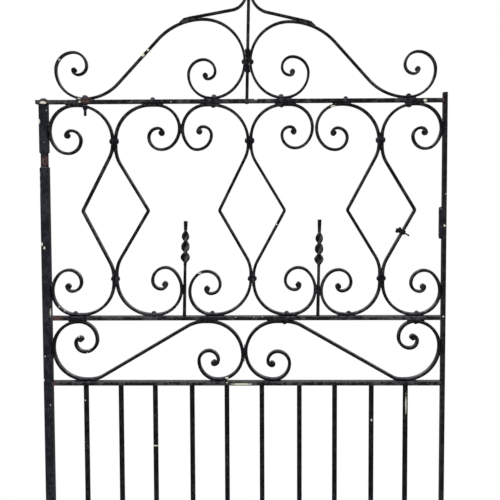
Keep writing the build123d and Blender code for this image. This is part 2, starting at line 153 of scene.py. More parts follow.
class Paintbox:
    """The node tree of a material or a world, with a single way to add a node."""

    MIX_FACTOR = 0
    MIX_COLOURS = (6, 7)
    MIX_RESULT = 2

    def __init__(self, owner: Material | bpy.types.World) -> None:
        """Empties the node tree of a new material or world."""
        owner.use_nodes = True
        self.tree = owner.node_tree
        self.tree.nodes.clear()

    @cached_property
    def place(self) -> Socket:
        """Coordinates in the leaf's own frame."""
        return self.node("ShaderNodeTexCoord").outputs["Object"]

    def node(
        self,
        kind: str,
        settings: dict[str, Any] | None = None,
        sockets: dict[str | int, Any] | None = None,
    ) -> Node:
        """Adds a node.

        Args:
            kind: The node's type.
            settings: Its properties, which are set first.
            sockets: Values, sockets or constants by the name or number of the input.

        Returns:
            The new node.
        """
        node = self.tree.nodes.new(kind)
        for name, setting in (settings or {}).items():
            setattr(node, name, setting)
        for key, given in (sockets or {}).items():
            if isinstance(given, Value):
                self.tree.links.new(given.socket, node.inputs[key])
            elif isinstance(given, Socket):
                self.tree.links.new(given, node.inputs[key])
            else:
                node.inputs[key].default_value = given
        return node

    def grain(self, size: float, detail: float) -> Value:
        """Noise on the leaf's own coordinates.

        Args:
            size: The width of a typical lump, in millimetres.
            detail: Octaves of finer noise on top.

        Returns:
            Noise around 0.5.
        """
        node = self.node(
            "ShaderNodeTexNoise",
            sockets={"Vector": self.place, "Scale": 1.0 / (size * MM), "Detail": detail},
        )
        return Value(self, node.outputs[0])

    def mixed(self, share: Value, base: Tone, over: Tone) -> Socket:
        """Lays one colour over another.

        Args:
            share: Where the upper colour covers.
            base: The lower colour, a socket or a linear RGB triple.
            over: The upper colour, a socket or a linear RGB triple.

        Returns:
            The mixed colour's socket.
        """
        first, second = self.MIX_COLOURS
        node = self.node(
            "ShaderNodeMix",
            {"data_type": "RGBA"},
            {self.MIX_FACTOR: share, first: self._full(base), second: self._full(over)},
        )
        return node.outputs[self.MIX_RESULT]

    def facing(self, direction: Facing) -> Value:
        """Measures how far the surface looks one way.

        Args:
            direction: The way.

        Returns:
            Cosine between the surface and the way, from -1 to 1.
        """
        normal = self.node("ShaderNodeNewGeometry").outputs["Normal"]
        node = self.node(
            "ShaderNodeVectorMath", {"operation": "DOT_PRODUCT"}, {0: normal, 1: direction.value}
        )
        return Value(self, node.outputs["Value"])

    def around(self, patch: Patch) -> Value:
        """Measures the distance from a patch's middle.

        Args:
            patch: The patch.

        Returns:
            The distance, 1 at the patch's rim.
        """
        scale = tuple(1.0 / (half * MM) for half in patch.halves)
        shift = tuple(-at * MM * factor for at, factor in zip(patch.middle, scale))
        mapped = self.node(
            "ShaderNodeMapping",
            {"vector_type": "POINT"},
            {"Vector": self.place, "Location": shift, "Scale": scale},
        )
        node = self.node("ShaderNodeVectorMath", {"operation": "LENGTH"}, {0: mapped.outputs[0]})
        return Value(self, node.outputs["Value"])

    def nearest(self, patches: Sequence[Patch]) -> Value:
        """Distance from the nearest of some patches, 1 at its rim."""
        return reduce(Value.lowest, [self.around(patch) for patch in patches])

    def seen(self) -> Value:
        """Tells the rays that look at a thing from those that light others by it.

        Returns:
            1 for rays that look, 0 for the others.
        """
        rays = self.node("ShaderNodeLightPath").outputs
        looks = ("Is Camera Ray", "Is Glossy Ray", "Is Transmission Ray")
        return reduce(Value.highest, [Value(self, rays[look]) for look in looks])

    def finish(self, surface: Node, output: str = "ShaderNodeOutputMaterial") -> None:
        """Joins the surface to the tree's output."""
        self.node(output, sockets={"Surface": surface.outputs[0]})

    def finish_mixed(
        self,
        share: Value,
        first: Node,
        second: Node,
        output: str = "ShaderNodeOutputMaterial",
    ) -> None:
        """Joins two surfaces to the tree's output.

        Args:
            share: Where the second surface takes over.
            first: The surface where the share is 0.
            second: The surface where the share is 1.
            output: The type of the output node.
        """
        surfaces = {0: share, 1: first.outputs[0], 2: second.outputs[0]}
        self.finish(self.node("ShaderNodeMixShader", sockets=surfaces), output)

    @staticmethod
    def _full(given: Tone) -> Any:
        """A socket as it is, or a triple with full alpha."""
        return given if isinstance(given, Socket) else (*given, 1.0)


@dataclass(frozen=True)
class Patch:
    """One worn place on the leaf: its middle and its half sizes, in millimetres."""

    middle: Point
    halves: Point


class Wear:
    """The masks, from 0 to 1, of what age has done to one paint, and of a painted highlight on
    surfaces that face up.
    """

    MIDDLE = 0.5
    TOPSIDE: Span = (-0.1, 0.85)
    LEVEL_TOP: Span = (0.90, 1.0)
    WORN: Span = (0.44, 0.62)
    DUST_AND_HIGHLIGHT: Span = (0.30, 0.60)
    RUST_GRAIN: Span = (0.4, 0.65)
    RUST_EDGE: Span = (0.6, 1.1)
    CHIP_EDGE: Span = (0.85, 1.0)
    RIM_EDGE: Span = (1.05, 1.45)
    FLECK_SOFTNESS = 0.04
    STAIN_SOFTNESS = 0.12

    def __init__(self, box: Paintbox, paint: IronPaint) -> None:
        """Makes the noises and the masks that follow them.

        Args:
            box: The paint's node tree.
            paint: The paint that ages.
        """
        self.box = box
        self.clouds = box.grain(paint.cloud_size, 4.0)
        self.lumps = box.grain(paint.lump_size, 3.0)
        self.fine = box.grain(paint.fine_size, 3.0)
        self.drift = self.clouds - self.MIDDLE
        self.ragged = (self.fine - self.MIDDLE) * 1.3 + (self.lumps - self.MIDDLE) * 0.9
        rise = box.facing(Facing.UP)
        # How far a surface faces up, less on flat tops: it sets the coat, and where the painted
        # highlight goes.
        self.topside = rise.step(*self.TOPSIDE) * (1.0 - rise.step(*self.LEVEL_TOP) * 0.7)
        self.worn = (self.clouds * 0.45 + self.lumps * 0.55).step(*self.WORN)
        # Dust on top sides and a painted highlight: lumpy pale grey where light from above falls on
        # upturned edges and coils.
        self.dust_and_highlight = self.topside * self.lumps.step(*self.DUST_AND_HIGHLIGHT)
        flecks = box.grain(paint.fleck_size, 2.0) + self.drift * 0.35
        self.flecked = flecks.step(paint.speckle, paint.speckle + self.FLECK_SOFTNESS)
        self.rusted = self._rusted(paint)

    def _rusted(self, paint: IronPaint) -> Value:
        """Faint stains everywhere, and rust at the paint's own patches.

        Args:
            paint: The paint that rusts.

        Returns:
            The mask.
        """
        stains = self.lumps + self.drift * 0.6
        rusted = stains.step(paint.staining, paint.staining + self.STAIN_SOFTNESS) * 0.6
        if not paint.rust:
            return rusted
        distance = self.box.nearest(paint.rust) + self.ragged
        return rusted.highest(1.0 - distance.step(*self.RUST_EDGE))

    def chipped(self, chips: Sequence[Patch]) -> tuple[Value, Value]:
        """Chips at named patches.

        Args:
            chips: The patches.

        Returns:
            Masks of the broken rim, which covers the chip too, and of the chip.
        """
        distance = self.box.nearest(chips) + self.ragged
        return 1.0 - distance.step(*self.RIM_EDGE), 1.0 - distance.step(*self.CHIP_EDGE)


@dataclass(frozen=True)
class IronPaint:
    """Thick black gloss over cream primer over rusty iron.

    The gloss is a coat that has lasted on top sides and is dull or gone underneath. The chips and
    the rust sit at named patches; speckle and staining are the levels of noise above which small
    flecks and faint stains show everywhere. Sizes are in millimetres.
    """

    name: str
    chips: tuple[Patch, ...] = ()
    rust: tuple[Patch, ...] = ()
    speckle: float = 0.72
    staining: float = 0.76
    tint: Colour = (0.0038, 0.0040, 0.0058)
    worn_tint: Colour = (0.0165, 0.0170, 0.0210)
    # Pale grey of top sides: partly dust, partly a painted highlight of the light from above.
    dust_and_highlight_colour: Colour = (0.130, 0.126, 0.132)
    fleck: Colour = (0.17, 0.165, 0.155)
    primer: Colour = (0.70, 0.67, 0.57)
    rim: Colour = (0.060, 0.054, 0.036)
    rust_dark: Colour = (0.026, 0.016, 0.018)
    rust_light: Colour = (0.150, 0.092, 0.086)
    roughness: float = 0.55
    specular: float = 0.0
    coat: float = 0.45
    coat_roughness: float = 0.30
    cloud_size: float = 38.0
    lump_size: float = 9.0
    fine_size: float = 1.6
    fleck_size: float = 3.2
    relief: float = 0.9
    relief_strength: float = 0.55

    @cache
    def material(self) -> Material:
        """Builds the node material, once for each finish.

        Returns:
            The material.
        """
        material = bpy.data.materials.new(self.name)
        box = Paintbox(material)
        wear = Wear(box, self)

        colour = box.mixed(wear.worn * 0.6, self.tint, self.worn_tint)
        # Top sides turn pale grey: dust and a painted highlight.
        colour = box.mixed(wear.dust_and_highlight * 0.8, colour, self.dust_and_highlight_colour)
        scale = box.mixed(wear.fine.step(*wear.RUST_GRAIN), self.rust_dark, self.rust_light)
        colour = box.mixed(wear.rusted, colour, scale)
        colour = box.mixed(wear.flecked * 0.8, colour, self.fleck)
        bare = wear.flecked
        if self.chips:
            rim, chipped = wear.chipped(self.chips)
            colour = box.mixed(rim, colour, self.rim)
            colour = box.mixed(chipped, colour, self.primer)
            bare = bare.highest(chipped)

        coat = (wear.topside * 0.85 + 0.15) * self.coat - wear.rusted - bare
        dulled = (wear.lumps - wear.MIDDLE) * 0.2 + wear.worn * 0.1 + wear.rusted * 0.25
        pits = wear.fine * (wear.rusted * 0.9 + 0.12)
        bump = box.node(
            "ShaderNodeBump",
            sockets={
                "Strength": self.relief_strength,
                "Distance": self.relief * MM,
                "Height": wear.lumps * 0.7 + pits + wear.clouds * 0.5 - bare * 0.35,
            },
        )
        surface = box.node(
            "ShaderNodeBsdfPrincipled",
            sockets={
                "Base Color": colour,
                "Roughness": dulled + self.roughness,
                "Specular IOR Level": self.specular,
                "Coat Weight": coat.highest(0.0),
                "Coat Roughness": self.coat_roughness,
                "Normal": bump.outputs[0],
            },
        )
        box.finish(surface)
        return material


class Forge:
    """Small forged shapes, each added to a bmesh in place. Sizes here are in metres."""

    DOME_SEGMENTS = 24
    DOME_RINGS = 14
    DOME_CUT = -0.12
    DENT_DEPTH = 0.10
    DENT_WIDTH = 0.9

    @staticmethod
    def seat(direction: Vector, at: Vector) -> Matrix:
        """Matrix that stands a shape made along +Z on a point, along a direction."""
        return Matrix.Translation(at) @ direction.to_track_quat("Z", "Y").to_matrix().to_4x4()

    @staticmethod
    def roughen(mesh: Mesh, points: Sequence[Vert], amount: float, size: float) -> None:
        """Moves points a little, as hammering and thick paint do.

        Args:
            mesh: The mesh that is shaped.
            points: The vertices that move.
            amount: The largest move.
            size: The width of a lump.
        """
        mesh.normal_update()
        for point in points:
            lump = noise.noise(point.co / size)
            point.co += point.normal * (lump * amount)

    @staticmethod
    def bevel(
        mesh: Mesh, edges: Sequence[Edge], offset: float, steps: int = 4, clamp: bool = False
    ) -> list[Vert]:
        """Rounds some edges.

        Args:
            mesh: The mesh that is shaped.
            edges: The edges.
            offset: How far the rounding reaches from each.
            steps: Facets across the rounding.
            clamp: Whether the rounding stops where it would run into another.

        Returns:
            The vertices of the rounding.
        """
        return bmesh.ops.bevel(
            mesh,
            geom=edges,
            offset=offset,
            segments=steps,
            profile=0.5,
            affect="EDGES",
            clamp_overlap=clamp,
            material=-1,
        )["verts"]

    @classmethod
    def dome(cls, mesh: Mesh, at: Vector, facing: Vector, radius: float, height: float) -> None:
        """A hammered dome that stands on a face.

        Args:
            mesh: The mesh that takes the dome.
            at: The middle of its foot.
            facing: The way it points.
            radius: Its radius at the foot.
            height: How far it stands out.
        """
        made = bmesh.ops.create_uvsphere(
            mesh, u_segments=cls.DOME_SEGMENTS, v_segments=cls.DOME_RINGS, radius=1.0
        )["verts"]
        faces = list(dict.fromkeys(face for point in made for face in point.link_faces))
        edges = list(dict.fromkeys(edge for point in made for edge in point.link_edges))
        cut = bmesh.ops.bisect_plane(
            mesh,
            geom=made + edges + faces,
            plane_co=(0.0, 0.0, cls.DOME_CUT),
            plane_no=(0.0, 0.0, 1.0),
            clear_inner=True,
        )
        rim = [item for item in cut["geom_cut"] if isinstance(item, Edge)]
        bmesh.ops.edgeloop_fill(mesh, edges=rim)
        kept = [item for item in cut["geom"] if isinstance(item, Vert)]
        kept = list(dict.fromkeys(point for point in kept if point.is_valid))
        shape = cls.seat(facing, at) @ Matrix.Diagonal((radius, radius, height, 1.0))
        bmesh.ops.transform(mesh, verts=kept, matrix=shape)
        cls.roughen(mesh, kept, radius * cls.DENT_DEPTH, radius * cls.DENT_WIDTH)

    @staticmethod
    def block(mesh: Mesh, corners: Sequence[Vector], depth: float) -> None:
        """Pushes an outline straight back through the leaf.

        Args:
            mesh: The mesh that takes the block.
            corners: The outline on its front.
            depth: How far back it goes.
        """
        face = mesh.faces.new([mesh.verts.new(corner) for corner in corners])
        pushed = bmesh.ops.extrude_face_region(mesh, geom=[face])["geom"]
        back = [item for item in pushed if isinstance(item, Vert)]
        bmesh.ops.translate(mesh, verts=back, vec=(0.0, depth, 0.0))


@dataclass
class Assembly:
    """A group of new pieces that take one finish and ride on the leaf.

    Smooth is the largest angle, in degrees, that is shaded smooth.
    """

    finish: Material
    smooth: float = 40.0

    def piece(self, name: str, mesh: Mesh) -> None:
        """Makes an object of a finished bmesh.

        Args:
            name: The piece's name.
            mesh: Its shape, in place and in metres.
        """
        bmesh.ops.recalc_face_normals(mesh, faces=mesh.faces[:])
        data = bpy.data.meshes.new(name)
        mesh.to_mesh(data)
        mesh.free()
        data.materials.append(self.finish)
        made = bpy.data.objects.new(name, data)
        bpy.context.scene.collection.objects.link(made)
        data.shade_smooth()
        data.set_sharp_from_angle(angle=math.radians(self.smooth))
        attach(made, ROOT)
        log.info("%s: %d faces", name, len(data.polygons))


@dataclass(frozen=True)
class Head:
    """One rivet head: its middle, the way it points, its radius and its height, in millimetres."""

    x: float
    z: float
    facing: Facing
    radius: float
    height: float


@dataclass
class Rivets(Assembly):
    """The rivet heads, on the faces that they draw together."""

    on_crest: float = 1610.2
    on_top_rail: float = 1604.4
    under_lyres: float = 1588.9
    under_top_rail: float = 1595.6
    on_lyres: float = 1121.1
    under_band: float = 1098.3
    beside_lyres: float = 6.7
    at_crest_meeting: float = 1687.8
    inside_plate: float = 891.6

    def top_heads(self) -> list[Head]:
        """Heads along the top rail."""
        return [
            Head(93.6, self.on_crest, Facing.UP, 6.8, 5.6),
            Head(246.3, self.on_top_rail, Facing.UP, 5.4, 6.0),
            Head(384.5, self.on_crest, Facing.UP, 6.0, 5.4),
            Head(535.0, self.on_crest, Facing.UP, 6.0, 5.4),
            Head(679.7, self.on_top_rail, Facing.UP, 5.4, 5.6),
            Head(820.5, self.on_crest, Facing.UP, 6.2, 5.4),
            Head(383.0, self.under_lyres, Facing.DOWN, 5.4, 3.4),
            Head(535.5, self.under_lyres, Facing.DOWN, 5.4, 3.4),
            Head(821.0, self.under_lyres, Facing.DOWN, 7.0, 5.0),
            Head(458.2, self.under_top_rail, Facing.DOWN, 5.0, 2.4),
        ]

    def middle_heads(self) -> list[Head]:
        """Heads along the middle rail."""
        above = (64.9, 244.0, 377.8, 546.5, 688.0, 842.0)
        below = (542.0, 840.5)
        return [Head(x, self.on_lyres, Facing.UP, 5.6, 5.2) for x in above] + [
            Head(x, self.under_band, Facing.DOWN, 5.2, 3.4) for x in below
        ]

    def lyre_heads(self) -> list[Head]:
        """Heads on both sides where the lyre bars meet.

        Returns:
            The heads, pair by pair.
        """
        rows = (
            (1512.0, 6.8, 4.4, (158.3, 464.0, 758.3)),
            (1200.0, 5.8, 3.8, (157.0, 468.8, 761.3)),
        )
        heads = []
        for level, radius, height, axes in rows:
            for axis in axes:
                left = axis - self.beside_lyres
                right = axis + self.beside_lyres
                heads.append(Head(left, level, Facing.LEFT, radius, height))
                heads.append(Head(right, level, Facing.RIGHT, radius, height))
        return heads

    def crest_heads(self) -> list[Head]:
        """Heads on both sides of the crest's meeting."""
        return [
            Head(450.9, self.at_crest_meeting, Facing.LEFT, 6.0, 4.4),
            Head(469.3, self.at_crest_meeting, Facing.RIGHT, 6.0, 4.4),
        ]

    def plate_heads(self) -> list[Head]:
        """Heads on the striking plate."""
        return [Head(self.inside_plate, z, Facing.LEFT, 3.6, 1.8) for z in (1299.3, 1352.0)]

    def build(self) -> None:
        """Makes one piece of the heads on each part of the leaf."""
        groups = {
            "top_rail_rivets": self.top_heads(),
            "middle_rail_rivets": self.middle_heads(),
            "lyre_rivets": self.lyre_heads(),
            "crest_rivets": self.crest_heads(),
            "striking_plate_rivets": self.plate_heads(),
        }
        for name, heads in groups.items():
            mesh = bmesh.new()
            for head in heads:
                at = Vector((head.x, 0.0, head.z)) * MM
                facing = head.facing.vector
                Forge.dome(mesh, at, facing, head.radius * MM, head.height * MM)
            self.piece(name, mesh)


@dataclass
class NutAndBolt(Assembly):
    """The later bolt that replaced one rivet, with its nut under the top rail.

    The nut's turn is in degrees.
    """

    x: float = 93.6
    seat: float = 1588.9
    nut_radius: float = 6.6
    nut_taper: float = 0.9
    nut_height: float = 6.6
    nut_bedding: float = 0.6
    nut_bevel: float = 1.1
    nut_turn: float = 9.0
    paint_lump: float = 0.35
    paint_lump_width: float = 5.0
    thread_radius: float = 3.5
    thread_depth: float = 0.45
    thread_slope: float = 0.6
    thread_end: float = 1569.0
    end_chamfer: float = 0.5
    end_crown: float = 0.6
    pitch: float = 1.5
    turn_steps: int = 24
    merge_within: float = 0.01

    def build(self) -> None:
        """Makes the nut and the bolt's end."""
        self.nut()
        self.thread()

    def nut(self) -> None:
        """Makes a hexagon nut, rounded by paint."""
        mesh = bmesh.new()
        middle = self.seat - self.nut_height / 2 + self.nut_bedding
        bmesh.ops.create_cone(
            mesh,
            cap_ends=True,
            segments=6,
            radius1=self.nut_radius * self.nut_taper * MM,
            radius2=self.nut_radius * MM,
            depth=self.nut_height * MM,
            matrix=Matrix.Translation(Vector((self.x, 0.0, middle)) * MM)
            @ Matrix.Rotation(math.radians(self.nut_turn), 4, "Z"),
        )
        Forge.bevel(mesh, mesh.edges[:], self.nut_bevel * MM)
        Forge.roughen(mesh, mesh.verts[:], self.paint_lump * MM, self.paint_lump_width * MM)
        self.piece("bolt_nut", mesh)

    def thread(self) -> None:
        """Turns the threaded end from a half profile."""
        mesh = bmesh.new()
        top = self.seat - self.nut_height / 2
        turns = int((top - self.thread_end) / self.pitch)
        valley = self.thread_radius - self.thread_depth
        profile = [Vector((0.0, 0.0, top))]
        for turn in range(turns):
            level = top - turn * self.pitch
            profile.append(Vector((self.thread_radius, 0.0, level)))
            profile.append(Vector((valley, 0.0, level - self.pitch * self.thread_slope)))
        profile.append(Vector((valley - self.end_chamfer, 0.0, self.thread_end)))
        profile.append(Vector((0.0, 0.0, self.thread_end - self.end_crown)))
        points = [mesh.verts.new(place * MM) for place in profile]
        edges = [mesh.edges.new(pair) for pair in zip(points, points[1:])]
        bmesh.ops.spin(
            mesh,
            geom=points + edges,
            cent=(0.0, 0.0, 0.0),
            axis=(0.0, 0.0, 1.0),
            angle=math.tau,
            steps=self.turn_steps,
            use_merge=True,
        )
        bmesh.ops.remove_doubles(mesh, verts=mesh.verts[:], dist=self.merge_within * MM)
        bmesh.ops.translate(mesh, verts=mesh.verts[:], vec=(self.x * MM, 0.0, 0.0))
        self.piece("bolt_end", mesh)


@dataclass
class Eyes(Assembly):
    """The solid eyes of the coils, hammered over the turned ends of the bars."""

    depth: float = 15.2
    bevel: float = 2.4
    segments: int = 28
    dent: float = 0.3
    dent_width: float = 6.0
    flatness: float = 0.001
    crest_radius: float = 5.6
    crest: tuple[Span, ...] = ((70.7, 1670.9), (365.5, 1657.6), (560.2, 1665.1), (839.8, 1669.4))
    lyre_radius: float = 6.4
    lyre: tuple[Span, ...] = (
        (49.6, 1182.9), (52.9, 1525.2), (265.4, 1530.1), (269.9, 1187.5),
        (351.3, 1533.0), (366.2, 1176.6), (562.7, 1532.0), (573.4, 1185.5),
        (653.0, 1528.6), (664.4, 1181.8), (855.5, 1180.5), (856.6, 1528.9),
    )
    band_radius: float = 6.9
    band: tuple[Span, ...] = ((75.3, 1061.6), (381.2, 1006.9), (513.3, 1004.4), (833.8, 1065.0))

    def build(self) -> None:
        """Makes one piece of the eyes of each kind of scroll."""
        groups = {
            "crest_scroll_eyes": (self.crest_radius, self.crest),
            "lyre_scroll_eyes": (self.lyre_radius, self.lyre),
            "band_scroll_eyes": (self.band_radius, self.band),
        }
        for name, (radius, places) in groups.items():
            mesh = bmesh.new()
            for x, z in places:
                self.eye(mesh, Vector((x, 0.0, z)) * MM, radius * MM)
            self.piece(name, mesh)

    def eye(self, mesh: Mesh, at: Vector, radius: float) -> None:
        """Adds one eye, a short bar through the leaf with rounded ends.

        Args:
            mesh: The mesh that takes it.
            at: Its middle.
            radius: Its radius.
        """
        made = bmesh.ops.create_cone(
            mesh,
            cap_ends=True,
            segments=self.segments,
            radius1=radius,
            radius2=radius,
            depth=self.depth * MM,
            matrix=Forge.seat(Facing.FRONT.vector, at),
        )["verts"]
        rims = []
        for edge in dict.fromkeys(edge for point in made for edge in point.link_edges):
            near, far = edge.verts
            if abs(near.co.y - far.co.y) < self.flatness * MM:
                rims.append(edge)
        rounded = Forge.bevel(mesh, rims, self.bevel * MM)
        Forge.roughen(mesh, rounded, self.dent * MM, self.dent_width * MM)


@dataclass
class Knot(Assembly):
    """The twisted ends of the wire tie, thick with paint."""

    middle: Point = (800.6, -4.5, 1309.0)
    lumps: tuple[tuple[Point, float], ...] = (
        ((0.0, 0.0, 0.0), 5.6),
        ((-4.5, -0.5, -1.8), 4.2),
        ((3.2, -1.0, -2.6), 4.4),
        ((1.5, -0.5, 3.6), 3.6),
    )
    fineness: int = 3
    crease: float = 0.9
    crease_width: float = 3.0

    def build(self) -> None:
        """Makes the knot of overlapping lumps."""
        mesh = bmesh.new()
        for shift, radius in self.lumps:
            at = (Vector(self.middle) + Vector(shift)) * MM
            made = bmesh.ops.create_icosphere(
                mesh,
                subdivisions=self.fineness,
                radius=radius * MM,
                matrix=Matrix.Translation(at),
            )["verts"]
            Forge.roughen(mesh, made, self.crease * MM, self.crease_width * MM)
        self.piece("wire_tie_knot", mesh)


@dataclass(frozen=True)
class Touch:
    """A place where a bar lies against a face and curves off it, in millimetres.

    Before and after are the fill's reach and the radius of the bar on either side of the touch,
    counted against and along the direction; flat is the length that lies on the face.
    """

    x: float
    z: float
    along: Facing
    away: Facing
    before: Span
    after: Span
    flat: float = 4.0


@dataclass(frozen=True)
class Toe:
    """The thin end of a bar that is welded down on another, in millimetres and degrees."""

    x: float
    z: float
    lean: float
    side: float

    @property
    def along(self) -> Vector:
        """The way down the bar underneath."""
        lean = math.radians(self.lean)
        return Vector((self.side * math.cos(lean), 0.0, -math.sin(lean)))

    @property
    def away(self) -> Vector:
        """The way off the bar underneath."""
        lean = math.radians(self.lean)
        return Vector((self.side * math.sin(lean), 0.0, math.cos(lean)))


@dataclass
class Fills(Assembly):
    """Weld and paint in the crevices where scrolls touch rails, stiles and each other."""

    smooth: float = 60.0
    top_face: float = 1604.5
    top_under: float = 1595.5
    middle_face: float = 1114.5
    middle_under: float = 1105.5
    lower_face: float = 964.5
    heel_face: float = 9.5
    latch_face: float = 897.5
    depth: float = 14.5
    sunk: float = 0.25
    edge_round: float = 0.5
    round_over: float = 3.0
    toe_start: float = -1.0
    toe_length: float = 10.0
    toe_high: float = 5.2
    toe_low: float = 0.7
    toe_sunk: float = 0.5

    @staticmethod
    def row(
        level: float, away: Facing, places: Sequence[tuple[float, float, Span, Span]]
    ) -> list[Touch]:
        """Touches along one face of a rail.

        Args:
            level: Height of the face.
            away: The way off the face.
            places: For each touch its X, its flat, and the reach and radius on its left and right.

        Returns:
            The touches.
        """
        return [
            Touch(x, level, Facing.RIGHT, away, left, right, flat)
            for x, flat, left, right in places
        ]

    def crest(self) -> list[Touch]:
        """Crest scrolls on the top rail."""
        places = (
            (93.0, 2.0, (19, 66), (22, 99)),
            (378.5, 2.0, (17, 54), (19, 73)),
            (542.0, 2.0, (17, 73), (17, 57)),
            (818.0, 2.0, (23, 120), (19, 64)),
        )
        return self.row(self.top_face, Facing.UP, places)

    def upper_lyres(self) -> list[Touch]:
        """Lyre bars under the top rail."""
        places = (
            (72.3, 7.0, (21, 60), (24, 80)),
            (248.0, 15.0, (20, 77), (15, 55)),
            (372.8, 13.0, (15, 58), (20, 88)),
            (548.3, 14.0, (22, 85), (15, 54)),
            (669.9, 7.0, (17, 56), (20, 85)),
            (838.3, 7.0, (24, 72), (15, 56)),
        )
        return self.row(self.top_under, Facing.DOWN, places)

    def lower_lyres(self) -> list[Touch]:
        """Lyre bars on the middle rail."""
        places = (
            (73.2, 14.0, (16, 58), (18, 75)),
            (245.7, 10.0, (18, 83), (16, 61)),
            (380.7, 7.0, (16, 55), (22, 84)),
            (551.0, 9.0, (20, 80), (17, 60)),
            (681.5, 6.0, (17, 57), (20, 74)),
            (838.3, 7.0, (20, 76), (17, 57)),
        )
        return self.row(self.middle_face, Facing.UP, places)

    def band(self) -> list[Touch]:
        """Band scrolls between the middle and lower rails.

        Returns:
            The touches under the middle rail, then those on the lower rail.
        """
        upper = (
            (72.0, 2.0, (24, 62), (18, 45)),
            (364.5, 9.0, (18, 83), (22, 80)),
            (534.5, 19.0, (24, 74), (18, 79)),
            (838.0, 2.0, (18, 40), (22, 59)),
        )
        lower = (
            (92.0, 8.0, (28, 78), (18, 66)),
            (390.0, 2.0, (18, 47), (22, 60)),
            (516.5, 2.0, (22, 66), (18, 40)),
            (812.0, 8.0, (18, 49), (28, 81)),
        )
        under_middle = self.row(self.middle_under, Facing.DOWN, upper)
        return under_middle + self.row(self.lower_face, Facing.UP, lower)

    def stiles(self) -> list[Touch]:
        """Coils and band scrolls against the two stiles.

        Returns:
            The touches on the heel stile, then those on the latch stile.
        """
        on_heel = ((1535.4, 60, 60), (1171.9, 58, 58), (1043.6, 75, 62))
        on_latch = ((1539.1, 57, 57), (1170.9, 57, 57), (1046.5, 76, 59))
        reach = 14
        touches = []
        for x, away, places in (
            (self.heel_face, Facing.RIGHT, on_heel),
            (self.latch_face, Facing.LEFT, on_latch),
        ):
            for z, below, above in places:
                touches.append(Touch(x, z, Facing.UP, away, (reach, below), (reach, above)))
        return touches

    def coils(self) -> list[Touch]:
        """Coils against each other, against the finials, and the band's middle."""
        return [
            Touch(309.5, 1539.5, Facing.UP, Facing.LEFT, (9, 55), (9, 55)),
            Touch(309.6, 1539.5, Facing.UP, Facing.RIGHT, (9, 58), (9, 58)),
            Touch(311.2, 1175.9, Facing.UP, Facing.LEFT, (9, 62), (9, 62)),
            Touch(615.1, 1174.9, Facing.UP, Facing.LEFT, (9, 61), (9, 61)),
            Touch(622.4, 1171.4, Facing.UP, Facing.RIGHT, (9, 57), (9, 57)),
            Touch(450.0, 1024.1, Facing.UP, Facing.LEFT, (14, 60), (16, 80)),
            Touch(450.1, 1030.8, Facing.UP, Facing.RIGHT, (14, 66), (16, 74)),
        ]

    def meetings(self) -> list[Touch]:
        """The crest scrolls on the spindle, and the two bars of each lyre.

        Returns:
            The touches on the spindle, then those on the left and right of the lyres' axes.
        """
        axes = (
            (158.3, (1510.3, 6.0), (1505.0, 17.0)),
            (464.0, (1507.5, 7.0), (1509.8, 17.0)),
            (758.3, (1508.3, 5.0), (1508.7, 21.0)),
            (157.0, (1197.6, 13.0), (1204.4, 13.0)),
            (468.8, (1205.9, 14.0), (1199.0, 14.0)),
            (761.3, (1202.1, 22.0), (1198.8, 22.0)),
        )
        below, above = (10, 76), (11, 76)
        touches = [
            Touch(456.6, 1688.8, Facing.UP, Facing.LEFT, (24, 88), (26, 96)),
            Touch(463.6, 1688.8, Facing.UP, Facing.RIGHT, (24, 88), (26, 90)),
        ]
        for number, side in enumerate((Facing.LEFT, Facing.RIGHT)):
            for x, *places in axes:
                z, flat = places[number]
                touches.append(Touch(x, z, Facing.UP, side, below, above, flat))
        return touches

    def toes(self) -> list[Toe]:
        """The feet of the two ogee bars on the crest scrolls."""
        return [Toe(317.8, 1778.2, 17.7, -1.0), Toe(602.5, 1769.4, 20.5, 1.0)]

    def build(self) -> None:
        """Makes one piece of the fills on each group of touches, and one of the toes."""
        groups = {
            "crest_welds": self.crest(),
            "upper_lyre_welds": self.upper_lyres(),
            "lower_lyre_welds": self.lower_lyres(),
            "band_welds": self.band(),
            "stile_welds": self.stiles(),
            "coil_welds": self.coils(),
            "meeting_welds": self.meetings(),
        }
        for name, touches in groups.items():
            mesh = bmesh.new()
            for touch in touches:
                self.fill(mesh, touch)
            self.round_off(mesh)
            self.piece(name, mesh)
        mesh = bmesh.new()
        for toe in self.toes():
            self.run_out(mesh, toe)
        self.round_off(mesh)
        self.piece("ogee_welds", mesh)

    def fill(self, mesh: Mesh, touch: Touch) -> None:
        """Adds the fills on both sides of one touch.

        Args:
            mesh: The mesh that takes them.
            touch: The touch.
        """
        at = Vector((touch.x, 0.0, touch.z)) * MM
        half = touch.flat / 2 * MM
        for way, (reach, curve) in ((-1.0, touch.before), (1.0, touch.after)):
            along = touch.along.vector * way
            self.crevice(mesh, at + along * half, along, touch.away.vector, reach * MM, curve * MM)

    def crevice(
        self, mesh: Mesh, at: Vector, along: Vector, away: Vector, reach: float, curve: float
    ) -> None:
        """Adds the wedge between a flat face and a bar that curves off it.

        Args:
            mesh: The mesh that takes the wedge.
            at: Where the bar leaves the face.
            along: The way along the face.
            away: The way off the face.
            reach: How far the fill runs from the touch, in metres.
            curve: Radius of the bar's outer face, in metres.
        """
        sunk = self.sunk * MM
        depth = self.depth * MM

        def lift(share: float) -> float:
            """Height of the bar over the face, at a share of the reach."""
            run = share * reach
            return curve - math.sqrt(curve * curve - run * run)

        profile = (
            (0.12, -sunk),
            (1.0, -sunk),
            (0.93, lift(0.93) * 0.40),
            (0.86, lift(0.86) + sunk),
            (0.6, lift(0.6) + sunk),
            (0.34, lift(0.34) + sunk),
        )
        front = Vector((0.0, -depth / 2, 0.0))
        corners = [
            at + along * (share * reach) + away * level + front for share, level in profile
        ]
        Forge.block(mesh, corners, depth)

